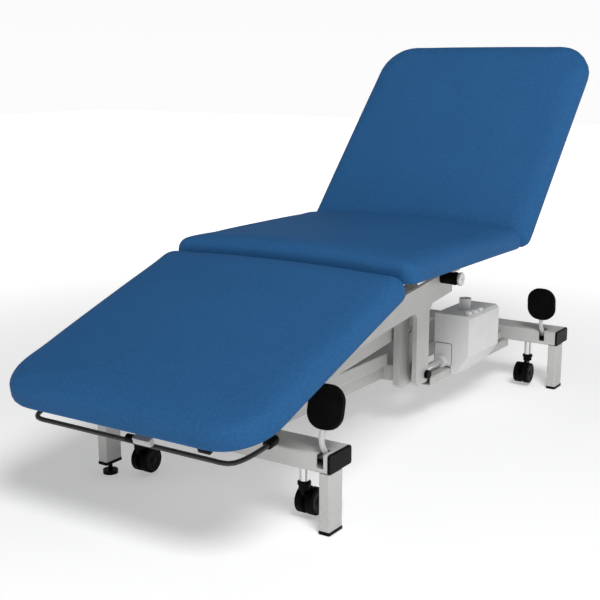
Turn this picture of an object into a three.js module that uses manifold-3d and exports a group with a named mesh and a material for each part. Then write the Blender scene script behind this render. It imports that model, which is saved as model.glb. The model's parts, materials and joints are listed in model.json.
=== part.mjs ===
// Medical exam table: three padded sections on a lifting frame, with pedal-lowered castors.
// Millimetres, +Z up, X runs from the foot end to the head end, Y across the table.
import * as THREE from 'three';
import { mergeVertices } from 'three/addons/utils/BufferGeometryUtils.js';
import Module from 'manifold-3d';

const wasm = await Module();
wasm.setup();

// ---- driving dimensions -------------------------------------------------------------------
const ORIGIN_X = 542.6; // middle of the whole table, measured from the foot-end legs' outer face
const GAP = 0.3; // clearance between pieces that touch

const BASE_LENGTH = 1298;
const BASE_HALF_WIDTH = 302;
const TUBE_WIDTH = 85;
const TUBE_BOTTOM = 127;
const TUBE_TOP = 167;
const TUBE_WALL = 3;
const FRONT_TUBE_X = TUBE_WIDTH / 2;
const REAR_TUBE_X = BASE_LENGTH - TUBE_WIDTH / 2;
const LEG_X = 50;
const LEG_Y = 25;
const LEG_OUTER = 307.5;
const LEVELLING_LEG_BOTTOM = 26;
const CHANNEL_HALF_WIDTH = 78;
const CHANNEL_HEIGHT = 33;

const SPINE_HALF_WIDTH = 60;
const RAIL_X = [742, 1240];
const RAIL_Z = [101, 123];
const UPRIGHT_OUTER = 112;
const UPRIGHT_INNER = 94;
const UPRIGHT_X = [643, 750];
const UPRIGHT_BOTTOM = 112;
const UPRIGHT_TOP = 372;
const RAIL_OUTER = 150;
const STUB_X = [652, 740];

const ARM_PIVOT = [697, 341];
const FRONT_PIVOT = [150, 282];
const TIE_DROP = 87; // the tie arms' pivots lie this far below the lift arms' pivots
const ARM_OUTER = 150;
const ARM_INNER = 138;
const ARM_END_X = 853;
const PIVOT_RADIUS = 14;
const TIE_PIVOT_RADIUS = 8;
const LEVER_PIN = [715, 139];
const ROLLER = [793, 378];
const ROLLER_RADIUS = 17;

const RAIL_BOTTOM = 400;
const RAIL_TOP = 443.7;
const FRAME_X = [330, 962];
const FRAME_OUTER = 150;
const FRAME_INNER = 120;

const BOARD_BOTTOM = 444;
const CUSHION_BOTTOM = 454;
const CUSHION_TOP = 509;
const CUSHION_HALF_WIDTH = 325;
const CUSHION_CORNER = 105; // at the foot end and the head end
const JOINT_CORNER = 28; // where two cushions meet
const CUSHION_EDGE = 25;
const SEAT_X = [300, 896];
const HINGE_Z = 432;
const LEG_HINGE_X = 344.7;
const BACK_HINGE_X = 950;
const LEG_ANGLE = -18.9;
const BACK_ANGLE = -47.2;
const LEG_SECTION = [47, 654]; // from the leg hinge towards the foot, when level
const BACK_SECTION = [-1.5, 667.4]; // from the back hinge towards the head, when level

const STEM_RADIUS = 10;
const STEM_BOTTOM = 78;
const WHEEL_RADIUS = 29;
const WHEEL_LIFT = 8; // how far the raised wheels hang above the floor
const FRONT_CASTOR = { x: 42.5, y: 221, trail: 22 };
const REAR_CASTOR = { x: 1240, y: 212, trail: -26 };
const PEDAL_SHAFT_Z = 147;
const PEDALS = { front: { y: 285, lean: 0 }, rear: { y: 262, lean: -18 } };

const ACTUATOR_Y = 125;
const ACTUATOR_Z = 139;
const ACTUATOR_REAR = [1188, ACTUATOR_Z];
const HOUSING_X = [855, 1047];
const HOUSING_OUTER = 200;
const HOUSING_INNER = 102;
const HOUSING_TOP = 267;
const ROD_RADIUS = 10;

// ---- finishes -----------------------------------------------------------------------------
const finish = (color, roughness, metalness) => () =>
  new THREE.MeshStandardMaterial({ color, roughness, metalness });
const greySteel = finish(0xc9cac8, 0.45, 0.2);
const blackPlastic = finish(0x111112, 0.45, 0);
const blackRubber = finish(0x141414, 0.75, 0);
const blackSteel = finish(0x101010, 0.35, 0.3);
const chrome = finish(0xd8d8da, 0.15, 1);
const greyPlastic = finish(0xdcdddd, 0.5, 0);
const blueVinyl = finish(0x2a5f9a, 0.55, 0);

// ---- helpers ------------------------------------------------------------------------------
const rad = THREE.MathUtils.degToRad;

function toSolid(geometry) {
  const bare = geometry.index ? geometry.toNonIndexed() : geometry.clone();
  bare.deleteAttribute('normal');
  bare.deleteAttribute('uv');
  const merged = mergeVertices(bare, 1e-4);
  return new wasm.Manifold(new wasm.Mesh({
    numProp: 3,
    vertProperties: new Float32Array(merged.attributes.position.array),
    triVerts: new Uint32Array(merged.index.array),
  }));
}

function toGeometry(solid) {
  const mesh = solid.getMesh();
  const geometry = new THREE.BufferGeometry();
  geometry.setAttribute('position', new THREE.BufferAttribute(mesh.vertProperties, 3));
  geometry.setIndex(new THREE.BufferAttribute(mesh.triVerts, 1));
  geometry.computeVertexNormals();
  return geometry;
}

function join(...geometries) {
  return toGeometry(geometries.map(toSolid).reduce((a, b) => a.add(b)));
}

function cut(geometry, ...tools) {
  return toGeometry(tools.map(toSolid).reduce((a, b) => a.subtract(b), toSolid(geometry)));
}

function block([x0, x1], [y0, y1], [z0, z1]) {
  const geometry = new THREE.BoxGeometry(x1 - x0, y1 - y0, z1 - z0);
  return geometry.translate((x0 + x1) / 2, (y0 + y1) / 2, (z0 + z1) / 2);
}

function rodY(radius, [x, z], [y0, y1], sides = 24) {
  const geometry = new THREE.CylinderGeometry(radius, radius, y1 - y0, sides);
  return geometry.translate(x, (y0 + y1) / 2, z);
}

function rodX(radius, [y, z], [x0, x1], sides = 24) {
  const geometry = new THREE.CylinderGeometry(radius, radius, x1 - x0, sides);
  return geometry.rotateZ(Math.PI / 2).translate((x0 + x1) / 2, y, z);
}

function rodZ(radius, [x, y], [z0, z1], sides = 24) {
  const geometry = new THREE.CylinderGeometry(radius, radius, z1 - z0, sides);
  return geometry.rotateX(Math.PI / 2).translate(x, y, (z0 + z1) / 2);
}

// A round bar between two points of an X-Z plane.
function barXZ(radius, y, [ax, az], [bx, bz], sides = 20) {
  const length = Math.hypot(bx - ax, bz - az);
  const geometry = new THREE.CylinderGeometry(radius, radius, length, sides);
  geometry.rotateZ(-Math.PI / 2);
  geometry.rotateY(-Math.atan2(bz - az, bx - ax));
  return geometry.translate((ax + bx) / 2, y, (az + bz) / 2);
}

// A plate whose outline lies in the X-Z plane, from y0 to y1.
function plate(shape, y0, y1) {
  const settings = { depth: y1 - y0, bevelEnabled: false, curveSegments: 6 };
  return new THREE.ExtrudeGeometry(shape, settings).rotateX(Math.PI / 2).translate(0, y1, 0);
}

function outline(points) {
  return new THREE.Shape(points.map(([x, z]) => new THREE.Vector2(x, z)));
}

// Centred on the origin; the corners at low X may have a radius of their own.
function roundedRectangle(width, height, radius, low = radius) {
  const [w, h] = [width / 2, height / 2];
  const shape = new THREE.Shape();
  shape.moveTo(w - radius, -h);
  shape.absarc(w - radius, -h + radius, radius, -Math.PI / 2, 0);
  shape.absarc(w - radius, h - radius, radius, 0, Math.PI / 2);
  shape.absarc(-w + low, h - low, low, Math.PI / 2, Math.PI);
  shape.absarc(-w + low, -h + low, low, Math.PI, 1.5 * Math.PI);
  return shape;
}

// A hollow rectangular tube along Y: width on X, height on Z, centred on the origin.
function rectangularTube(width, height, length, wall, radius) {
  const shape = roundedRectangle(width, height, radius);
  shape.holes.push(roundedRectangle(width - 2 * wall, height - 2 * wall, Math.max(radius - wall, 0.8)));
  const settings = { depth: length, bevelEnabled: false, curveSegments: 4 };
  return new THREE.ExtrudeGeometry(shape, settings).rotateX(Math.PI / 2).translate(0, length / 2, 0);
}

function tubeAlong(points, radius, steps, sides = 10) {
  const section = new THREE.Shape();
  section.absarc(0, 0, radius, 0, 2 * Math.PI);
  const corners = points.map((p) => new THREE.Vector3(...p));
  const path = new THREE.CatmullRomCurve3(corners, false, 'centripetal');
  return new THREE.ExtrudeGeometry(section, { steps, extrudePath: path, curveSegments: sides / 2 });
}

const table = new THREE.Group();
const model = new THREE.Group();
model.position.x = -ORIGIN_X;
table.add(model);

function add(name, geometry, material, parent = model) {
  const mesh = new THREE.Mesh(geometry, material());
  mesh.name = name;
  parent.add(mesh);
  return mesh;
}

const SIDES = [['near', -1], ['far', 1]];

// A span given as distances from the middle plane, on the side asked for.
function span(side, inner, outer) {
  return side < 0 ? [-outer, -inner] : [inner, outer];
}

// ---- base ---------------------------------------------------------------------------------
function crossTube(x, castor, pedal) {
  const tube = rectangularTube(TUBE_WIDTH, TUBE_TOP - TUBE_BOTTOM, 2 * BASE_HALF_WIDTH, TUBE_WALL, 5)
    .translate(x, 0, (TUBE_BOTTOM + TUBE_TOP) / 2);
  const holes = [-1, 1].map((side) =>
    rodZ(STEM_RADIUS + 0.8, [castor.x, side * castor.y], [TUBE_BOTTOM - 4, TUBE_BOTTOM + 8]));
  const face = x - TUBE_WIDTH / 2;
  const slotHeight = [PEDAL_SHAFT_Z - 10, TUBE_TOP + 4];
  const slot = block([face - 2, x - 8], [-pedal.y - 8, -pedal.y + 8], slotHeight);
  return cut(tube, ...holes, slot);
}

// Clevis on the rear cross tube that holds the tail of the actuator.
function actuatorClevis() {
  const [x, z] = ACTUATOR_REAR;
  const face = BASE_LENGTH - TUBE_WIDTH + 1;
  const lugs = [-ACTUATOR_Y - 15, -ACTUATOR_Y + 10].map((y) =>
    block([x - 9, face], [y, y + 5], [TUBE_BOTTOM + 1, z + 9]));
  const pin = rodY(4, [x, z], [-ACTUATOR_Y - 12, -ACTUATOR_Y + 12], 16);
  return join(lugs[0], lugs[1], pin);
}

function tableLeg(end, side) {
  const x = end === 'front' ? LEG_X / 2 : BASE_LENGTH - TUBE_WIDTH + LEG_X / 2;
  const bottom = end === 'front' && side > 0 ? LEVELLING_LEG_BOTTOM : 0;
  const height = TUBE_BOTTOM - GAP - bottom;
  const y = side * (LEG_OUTER - LEG_Y / 2);
  const shape = roundedRectangle(LEG_X, LEG_Y, 3);
  const leg = new THREE.ExtrudeGeometry(shape, { depth: height, bevelEnabled: false, curveSegments: 3 })
    .translate(x, y, bottom);
  return bottom > 0 ? cut(leg, rodZ(5.4, [x, y], [bottom - 2, bottom + 50], 16)) : leg;
}

function levellingFoot() {
  const [x, y] = [LEG_X / 2, LEG_OUTER - LEG_Y / 2];
  return join(rodZ(17, [x, y], [0, 9]), rodZ(5, [x, y], [5, LEVELLING_LEG_BOTTOM + 30], 16));
}

function longitudinalTube([x0, x1], [y0, y1], [z0, z1], wall) {
  return rectangularTube(y1 - y0, z1 - z0, x1 - x0, wall, 3)
    .rotateZ(Math.PI / 2)
    .translate((x0 + x1) / 2, (y0 + y1) / 2, (z0 + z1) / 2);
}

// Upright plate with its welded stub to the spine, bored for the two arm pivots.
function upright(side) {
  const [x0, x1] = UPRIGHT_X;
  const shape = outline([
    [x0, UPRIGHT_BOTTOM + 8], [x0 + 8, UPRIGHT_BOTTOM], [x1, UPRIGHT_BOTTOM], [x1, UPRIGHT_TOP - 25],
    [x1 - 25, UPRIGHT_TOP], [x0 + 30, UPRIGHT_TOP - 8], [x0, UPRIGHT_TOP - 60],
  ]);
  const face = plate(shape, ...span(side, UPRIGHT_INNER, UPRIGHT_OUTER));
  const stubWidth = span(side, SPINE_HALF_WIDTH + GAP, UPRIGHT_INNER + 2);
  const stub = block(STUB_X, stubWidth, [TUBE_BOTTOM, TUBE_TOP]);
  const through = span(side, UPRIGHT_INNER - 4, UPRIGHT_OUTER + 4);
  const grooveDepth = span(side, UPRIGHT_OUTER - 3, UPRIGHT_OUTER + 3);
  const groove = block([x0 + 44, x0 + 47], grooveDepth, [UPRIGHT_BOTTOM + 24, UPRIGHT_TOP - 60]);
  return cut(
    join(face, stub),
    rodY(PIVOT_RADIUS + 0.8, ARM_PIVOT, through, 32),
    rodY(TIE_PIVOT_RADIUS + 0.6, [ARM_PIVOT[0], ARM_PIVOT[1] - TIE_DROP], through),
    groove,
  );
}

// Low rail from an upright to the rear cross tube, with the pad that meets the tube's underside.
function baseRail(side) {
  const width = span(side, UPRIGHT_OUTER + GAP, RAIL_OUTER);
  const pad = block([RAIL_X[1] - 25, RAIL_X[1] - 1], width, [RAIL_Z[1] - 1, TUBE_BOTTOM - GAP]);
  return join(longitudinalTube(RAIL_X, width, RAIL_Z, 2.5), pad);
}

function buildBase() {
  const frontTube = crossTube(FRONT_TUBE_X, FRONT_CASTOR, PEDALS.front);
  const rearTube = crossTube(REAR_TUBE_X, REAR_CASTOR, PEDALS.rear);
  add('front_cross_tube', frontTube, greySteel);
  add('rear_cross_tube', join(rearTube, actuatorClevis()), greySteel);
  for (const end of ['front', 'rear']) {
    for (const [name, side] of SIDES) {
      add(`${end}_leg_${name}`, tableLeg(end, side), greySteel);
    }
  }
  add('levelling_foot', levellingFoot(), blackPlastic);
  const spineX = [TUBE_WIDTH + GAP, BASE_LENGTH - TUBE_WIDTH - GAP];
  const spineY = [-SPINE_HALF_WIDTH, SPINE_HALF_WIDTH];
  add('spine', longitudinalTube(spineX, spineY, [TUBE_BOTTOM, TUBE_TOP], 3), greySteel);
  const channelZ = [TUBE_TOP + GAP, TUBE_TOP + GAP + CHANNEL_HEIGHT];
  const channelY = [-CHANNEL_HALF_WIDTH, CHANNEL_HALF_WIDTH];
  const channel = longitudinalTube([8, UPRIGHT_X[0] - 2], channelY, channelZ, 3);
  add('front_channel', channel, greySteel);
  for (const [name, side] of SIDES) {
    add(`upright_${name}`, upright(side), greySteel);
    add(`base_rail_${name}`, baseRail(side), greySteel);
  }
}

// ---- lifting arms -------------------------------------------------------------------------
const ARM_SLOPE = (ARM_PIVOT[1] - FRONT_PIVOT[1]) / (ARM_PIVOT[0] - FRONT_PIVOT[0]);
const armAxisZ = (x) => FRONT_PIVOT[1] + (x - FRONT_PIVOT[0]) * ARM_SLOPE;
const ARM_BELOW = 27;
const ARM_ABOVE = 34;
const LEVER_X = [661, 727];

function armOutline(hasLever) {
  const noseX = FRONT_PIVOT[0] - 22;
  const low = (x, drop = 0) => [x, armAxisZ(x) - ARM_BELOW - drop];
  const high = (x) => [x, armAxisZ(x) + ARM_ABOVE];
  const [frontX, rearX] = LEVER_X;
  const pinZ = LEVER_PIN[1];
  const lever = [
    low(frontX - 14), low(frontX, 14), [frontX, pinZ - 12], [frontX + 8, pinZ - 20],
    [rearX - 8, pinZ - 20], [rearX, pinZ - 12], low(rearX, 16), low(rearX + 16),
  ];
  return outline([
    low(FRONT_PIVOT[0]), ...(hasLever ? lever : []), low(ARM_END_X),
    [ARM_END_X, armAxisZ(ARM_END_X) + 22], high(ARM_END_X - 12), high(FRONT_PIVOT[0] + 6),
    [noseX, FRONT_PIVOT[1] + 18], [noseX - 3, FRONT_PIVOT[1] - 12],
  ]);
}

function liftArm(side) {
  const depth = span(side, ARM_INNER, ARM_OUTER);
  const arm = plate(armOutline(side < 0), ...depth);
  return side < 0 ? cut(arm, rodY(6.3, LEVER_PIN, [depth[0] - 2, depth[1] + 2], 16)) : arm;
}

function leverPin() {
  const shank = rodY(6, LEVER_PIN, [-ARM_OUTER - 6, -ACTUATOR_Y + 9], 16);
  return join(shank, rodY(11, LEVER_PIN, [-ARM_OUTER - 10, -ARM_OUTER - GAP]));
}

function restRoller() {
  const body = rodY(ROLLER_RADIUS - 1, ROLLER, [-ARM_OUTER - 36, -ARM_OUTER - GAP], 32);
  const collar = rodY(ROLLER_RADIUS, ROLLER, [-ARM_OUTER - 40, -ARM_OUTER - 30], 32);
  return join(body, collar, rodY(ROLLER_RADIUS - 1.5, ROLLER, [-ARM_OUTER - 50, -ARM_OUTER - 38], 32));
}

// Tie arm: a flat bar with a stub axle at each end, for an upright and for a front bracket.
function tieArm(side) {
  const [rear, front] = [ARM_PIVOT, FRONT_PIVOT].map(([x, z]) => [x, z - TIE_DROP]);
  const half = 17;
  const shape = outline([
    [front[0] - 14, front[1] - half + 4], [front[0], front[1] - half],
    [rear[0], rear[1] - half], [rear[0] + 14, rear[1] - half + 4],
    [rear[0] + 16, rear[1] + 8], [rear[0], rear[1] + half],
    [front[0], front[1] + half], [front[0] - 16, front[1] + 8],
  ]);
  const stub = (pivot) => rodY(TIE_PIVOT_RADIUS, pivot, span(side, 84, 110));
  return join(plate(shape, ...span(side, 80, 88)), stub(rear), stub(front));
}

function buildLift() {
  for (const [name, side] of SIDES) {
    add(`lift_arm_${name}`, liftArm(side), greySteel);
    add(`tie_arm_${name}`, tieArm(side), greySteel);
  }
  const shaftSpan = [-ARM_INNER + GAP, ARM_INNER - GAP];
  add('lift_shaft', rodY(PIVOT_RADIUS, ARM_PIVOT, shaftSpan, 32), greySteel);
  add('front_shaft', rodY(PIVOT_RADIUS, FRONT_PIVOT, shaftSpan, 32), greySteel);
  add('rest_roller', restRoller(), blackRubber);
  add('lever_pin', leverPin(), blackPlastic);
}

// ---- upper frame --------------------------------------------------------------------------
const HINGE_PIN_RADIUS = 6;
const STRUT_Y = 187;
const STRUT_MOUNTS = { leg: [575, 416], back: [603, 416] };
const CROSS_X = { middle: [566, 612], rear: [772, 814] };

// Block on the far rail with the two pins that the gas struts' tails turn on.
function strutMounts() {
  const [first, last] = [STRUT_MOUNTS.leg[0] - 10, STRUT_MOUNTS.back[0] + 10];
  const lug = block([first, last], [FRAME_OUTER - 2, STRUT_Y - 12], [RAIL_BOTTOM + 2, RAIL_BOTTOM + 30]);
  return [lug, ...Object.values(STRUT_MOUNTS).map((at) => rodY(5, at, [STRUT_Y - 14, STRUT_Y + 9], 16))];
}

function frameRail(side) {
  const rail = block(FRAME_X, span(side, FRAME_INNER, FRAME_OUTER), [RAIL_BOTTOM, RAIL_TOP]);
  const padX = [ROLLER[0] - 18, ROLLER[0] + 18];
  const pad = block(padX, [-FRAME_OUTER - 40, -FRAME_OUTER + 2], [397, 409]);
  const pins = [LEG_HINGE_X, BACK_HINGE_X].map((x) =>
    rodY(HINGE_PIN_RADIUS, [x, HINGE_Z], span(side, FRAME_OUTER - 4, FRAME_OUTER + 22), 20));
  return side > 0 ? join(rail, ...pins, ...strutMounts()) : join(rail, ...pins, pad);
}

function frameCross(spanX) {
  const inner = FRAME_INNER - GAP;
  return block(spanX, [-inner, inner], [RAIL_BOTTOM, RAIL_TOP]);
}

// Bracket that hangs from a frame rail down to the front pivots of the lift arm and the tie arm.
function frontBracket(side) {
  const [px, pz] = FRONT_PIVOT;
  const shape = outline([
    [px - 31, pz - TIE_DROP - 32], [px + 31, pz - TIE_DROP - 32], [px + 40, pz - 30],
    [372, 352], [430, RAIL_BOTTOM - GAP], [FRAME_X[0], RAIL_BOTTOM - GAP],
    [305, 388], [px + 50, 345], [px - 15, 315], [px - 31, 300],
  ]);
  const through = span(side, UPRIGHT_INNER - 4, UPRIGHT_OUTER + 4);
  return cut(
    plate(shape, ...span(side, UPRIGHT_INNER, UPRIGHT_OUTER)),
    rodY(PIVOT_RADIUS + 0.8, FRONT_PIVOT, through, 32),
    rodY(TIE_PIVOT_RADIUS + 0.6, [px, pz - TIE_DROP], through),
  );
}

function buildUpperFrame() {
  for (const [name, side] of SIDES) {
    add(`frame_rail_${name}`, frameRail(side), greySteel);
    add(`front_bracket_${name}`, frontBracket(side), greySteel);
  }
  add('frame_cross_middle', frameCross(CROSS_X.middle), greySteel);
  add('frame_cross_rear', frameCross(CROSS_X.rear), greySteel);
}

// ---- cushions, boards and the two tilting sections ------------------------------------------
// A cushion with rounded corners and rounded edges, resting on z0 and spanning x0 to x1.
function cushion([x0, x1], z0, highCorner, lowCorner) {
  const [edge, height] = [CUSHION_EDGE, CUSHION_TOP - CUSHION_BOTTOM];
  const shape = roundedRectangle(x1 - x0, 2 * CUSHION_HALF_WIDTH, highCorner, lowCorner);
  const geometry = new THREE.ExtrudeGeometry(shape, {
    depth: height - 2 * edge, curveSegments: 6,
    bevelThickness: edge, bevelSize: edge, bevelOffset: -edge, bevelSegments: 3,
  });
  return geometry.translate((x0 + x1) / 2, 0, z0 + edge + GAP);
}

const BOARD_HALF_WIDTH = 284;
const BOARD_CORNER = 70;
const SECTION_BOARD = [BOARD_BOTTOM - HINGE_Z, CUSHION_BOTTOM - HINGE_Z];
const SECTION_RAIL = [152, 168];
const RAIL_DEPTH = [-12, SECTION_BOARD[0] - GAP];

function board([x0, x1], [z0, z1]) {
  const shape = roundedRectangle(x1 - x0, 2 * BOARD_HALF_WIDTH, BOARD_CORNER);
  const settings = { depth: z1 - z0, bevelEnabled: false, curveSegments: 5 };
  return new THREE.ExtrudeGeometry(shape, settings).translate((x0 + x1) / 2, 0, z0);
}

// A group whose origin is a section's hinge, turned to the section's resting angle.
function hingedSection(hingeX, angle) {
  const group = new THREE.Group();
  group.position.set(hingeX, 0, HINGE_Z);
  group.rotation.y = rad(angle);
  model.add(group);
  return group;
}

// Section rail along X from the hinge to `end`; the far one carries the gas strut's lever.
function sectionRail(side, end, lever) {
  const way = Math.sign(end);
  const [low, high] = RAIL_DEPTH;
  const points = [
    [-10 * way, -5.5], [-10 * way, 5.5], [-3 * way, 11.2], [14 * way, high],
    [end, high], [end, low + 8], [end - 18 * way, low],
  ];
  if (lever) {
    const root = way * Math.max(lever[0] * way + 26, 10);
    points.push([root, low], [lever[0] + 9 * way, lever[1] + 2], [lever[0], lever[1] - 9]);
    points.push([lever[0] - 9 * way, lever[1] + 2]);
  } else {
    points.push([-3 * way, -11.2]);
  }
  const face = plate(outline(way > 0 ? points.reverse() : points), ...span(side, ...SECTION_RAIL));
  const through = span(side, SECTION_RAIL[0] - 3, SECTION_RAIL[1] + 3);
  const bored = cut(face, rodY(HINGE_PIN_RADIUS + 0.6, [0, 0], through, 20));
  return lever ? join(bored, rodY(5, lever, [SECTION_RAIL[1] - 2, STRUT_Y + 9], 16)) : bored;
}

// Strut lever's end, straight below the hinge when the section is turned by `middle` degrees.
function leverEnd(radius, middle) {
  return [-radius * Math.sin(rad(-middle)), -radius * Math.cos(rad(middle))];
}

const LEG_LEVER = leverEnd(80, -12);
const BACK_LEVER = leverEnd(90, -26);

const BAR_RADIUS = 5;
const BAR_PIVOT = [-508, -41];
const BAR_FRONT = [-623, -20];

// Release bar round the foot end: it turns in the two lugs below the leg board.
function releaseBar() {
  const [px, pz] = BAR_PIVOT;
  const [fx, fz] = BAR_FRONT;
  const side = [
    [px, 243, pz], [px, 254, pz], [px - 7, 262, pz + 1], [px - 22, 265, pz + 4],
    [px - 70, 262, pz + 13], [fx + 18, 255, fz - 3], [fx + 5, 245, fz - 1],
    [fx, 228, fz], [fx, 205, fz], [fx, 70, fz],
  ];
  const mirrored = side.map(([x, y, z]) => [x, -y, z]).reverse();
  return tubeAlong([...side, ...mirrored], BAR_RADIUS, 72);
}

function legBoard() {
  const [px, pz] = BAR_PIVOT;
  const shape = outline([
    [px + 26, 14], [px + 12, pz - 8], [px, pz - 12], [px - 12, pz - 8], [px - 26, 14],
  ]);
  const lugs = [-1, 1].map((side) => {
    const width = span(side, 246, 252);
    const hole = rodY(BAR_RADIUS + 0.8, BAR_PIVOT, [width[0] - 2, width[1] + 2], 16);
    return cut(plate(shape, ...width), hole);
  });
  return join(board([-LEG_SECTION[1] + 26, -LEG_SECTION[0] - 12], SECTION_BOARD), ...lugs);
}

function buildSections() {
  const seatBoardX = [SEAT_X[0] + 22, SEAT_X[1] - 22];
  add('seat_board', board(seatBoardX, [BOARD_BOTTOM, CUSHION_BOTTOM]), greySteel);
  add('seat_cushion', cushion(SEAT_X, CUSHION_BOTTOM, JOINT_CORNER), blueVinyl);
  const cushionZ = CUSHION_BOTTOM - HINGE_Z;
  const leg = hingedSection(LEG_HINGE_X, LEG_ANGLE);
  add('leg_board', legBoard(), greySteel, leg);
  const legX = [-LEG_SECTION[1], -LEG_SECTION[0]];
  const legCushion = cushion(legX, cushionZ, JOINT_CORNER, CUSHION_CORNER);
  add('leg_cushion', legCushion, blueVinyl, leg);
  add('release_bar', releaseBar(), blackSteel, leg);
  const back = hingedSection(BACK_HINGE_X, BACK_ANGLE);
  const backBoardX = [BACK_SECTION[0] + 14, BACK_SECTION[1] - 26];
  add('back_board', board(backBoardX, SECTION_BOARD), greySteel, back);
  const backCushion = cushion(BACK_SECTION, cushionZ, CUSHION_CORNER, JOINT_CORNER);
  add('back_cushion', backCushion, blueVinyl, back);
  for (const [name, side] of SIDES) {
    const far = side > 0;
    add(`leg_rail_${name}`, sectionRail(side, -600, far && LEG_LEVER), greySteel, leg);
    add(`back_rail_${name}`, sectionRail(side, 610, far && BACK_LEVER), greySteel, back);
  }
}

// ---- gas struts ---------------------------------------------------------------------------
const STRUT_TUBE_RADIUS = 11;
const STRUT_ROD_RADIUS = 5;
const EYE_RADIUS = 10;

function resting([x, z], hingeX, angle) {
  const [c, s] = [Math.cos(rad(angle)), Math.sin(rad(angle))];
  return [hingeX + x * c + z * s, HINGE_Z - x * s + z * c];
}

function along([ax, az], [bx, bz], distance) {
  const length = Math.hypot(bx - ax, bz - az);
  return [ax + (bx - ax) * distance / length, az + (bz - az) * distance / length];
}

function eye(at, radius, hole) {
  const width = [STRUT_Y - 6, STRUT_Y + 6];
  return [rodY(radius, at, width), rodY(hole, at, [width[0] - 2, width[1] + 2])];
}

function strutTube(mount, end, length) {
  const [ring, hole] = eye(mount, EYE_RADIUS, 5.6);
  const at = (distance) => along(mount, end, distance);
  const body = barXZ(STRUT_TUBE_RADIUS, STRUT_Y, at(8), at(length));
  const bore = barXZ(STRUT_ROD_RADIUS + 1, STRUT_Y, at(22), at(length + 4));
  return cut(join(ring, body), hole, bore);
}

// The rod's eye is oversize, because its pivot is the one where the linkage is open.
function strutRod(mount, end, start, slack) {
  const [ring, hole] = eye(end, slack + 10, slack + 5);
  const reach = Math.hypot(end[0] - mount[0], end[1] - mount[1]) - slack - 7;
  const at = (distance) => along(mount, end, distance);
  return cut(join(ring, barXZ(STRUT_ROD_RADIUS, STRUT_Y, at(start), at(reach))), hole);
}

function buildStruts() {
  const legEnd = resting(LEG_LEVER, LEG_HINGE_X, LEG_ANGLE);
  const backEnd = resting(BACK_LEVER, BACK_HINGE_X, BACK_ANGLE);
  add('leg_strut_tube', strutTube(STRUT_MOUNTS.leg, legEnd, 150), blackSteel);
  add('leg_strut_rod', strutRod(STRUT_MOUNTS.leg, legEnd, 70, 2.5), chrome);
  add('back_strut_tube', strutTube(STRUT_MOUNTS.back, backEnd, 225), blackSteel);
  add('back_strut_rod', strutRod(STRUT_MOUNTS.back, backEnd, 120, 7), chrome);
}

// ---- lifting actuator ---------------------------------------------------------------------
const ROD_EYE = { x: [-16, 16], z: [-23, 23] };
const EYE_SLOT = { x: 10.5, z: 18 };

function actuatorHousing() {
  const [x0, x1] = HOUSING_X;
  const skirt = RAIL_OUTER + 1.5;
  const section = outline([
    [-HOUSING_INNER, RAIL_Z[1] + 3], [-HOUSING_INNER, HOUSING_TOP],
    [-HOUSING_OUTER + 8, HOUSING_TOP], [-HOUSING_OUTER, HOUSING_TOP - 8],
    [-HOUSING_OUTER, 158], [-skirt - 14, 108], [-skirt, 108], [-skirt, RAIL_Z[1] + 3],
  ]);
  const box = new THREE.ExtrudeGeometry(section, { depth: x1 - x0, bevelEnabled: false })
    .rotateX(Math.PI / 2).rotateZ(Math.PI / 2).translate(x0, 0, 0);
  const axis = [-ACTUATOR_Y, ACTUATOR_Z];
  const boss = rodX(15, axis, [x0 - 8, x0 + 2]);
  const motor = rodZ(16, [936, -150], [HOUSING_TOP - 2, HOUSING_TOP + 31], 28);
  const sockets = [[888, -182], [915, -186], [948, -186]].map((at) =>
    rodZ(7, at, [HOUSING_TOP - 2, HOUSING_TOP + 5], 16));
  const tail = rodX(14, axis, [x1 - 2, ACTUATOR_REAR[0] - 15]);
  const eyeWidth = [-ACTUATOR_Y - 8, -ACTUATOR_Y + 8];
  const neckX = [ACTUATOR_REAR[0] - 20, ACTUATOR_REAR[0] - 6];
  const neck = block(neckX, eyeWidth, [ACTUATOR_Z - 9, ACTUATOR_Z + 9]);
  const tailEye = rodY(11, ACTUATOR_REAR, eyeWidth);
  return cut(
    join(box, boss, motor, ...sockets, tail, neck, tailEye),
    rodX(ROD_RADIUS + 0.8, axis, [x0 - 12, x1 + 60]),
    rodY(4.8, ACTUATOR_REAR, [-ACTUATOR_Y - 10, -ACTUATOR_Y + 10], 16),
  );
}

function actuatorRod() {
  const [x, z] = LEVER_PIN;
  const width = [-ACTUATOR_Y - 9, -ACTUATOR_Y + 9];
  const head = block(ROD_EYE.x.map((d) => x + d), width, ROD_EYE.z.map((d) => z + d));
  const shankX = [x + ROD_EYE.x[1] - 2, HOUSING_X[1] + 40];
  const shank = rodX(ROD_RADIUS, [-ACTUATOR_Y, ACTUATOR_Z], shankX);
  const slotX = [x - EYE_SLOT.x, x + EYE_SLOT.x];
  const slot = block(slotX, [width[0] - 2, width[1] + 2], [z - EYE_SLOT.z, z + EYE_SLOT.z]);
  return cut(join(head, shank), slot);
}

// ---- castors and pedals -------------------------------------------------------------------
function castorYoke(x, y, trail) {
  const way = Math.sign(trail);
  const reach = Math.abs(trail);
  const wheelZ = WHEEL_LIFT + WHEEL_RADIUS;
  const points = [
    [-9, 76], [-9, 62], [reach - 6, wheelZ - 10],
    [reach + 7, wheelZ - 7], [reach + 8, wheelZ + 6], [9, 76],
  ].map(([dx, z]) => [x + way * dx, z]);
  const cheek = plate(outline(way > 0 ? points : points.reverse()), y - 4, y + 4);
  return cut(
    join(rodZ(12, [x, y], [68, STEM_BOTTOM - GAP]), cheek),
    rodY(4.6, [x + trail, wheelZ], [y - 8, y + 8], 16),
  );
}

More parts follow.
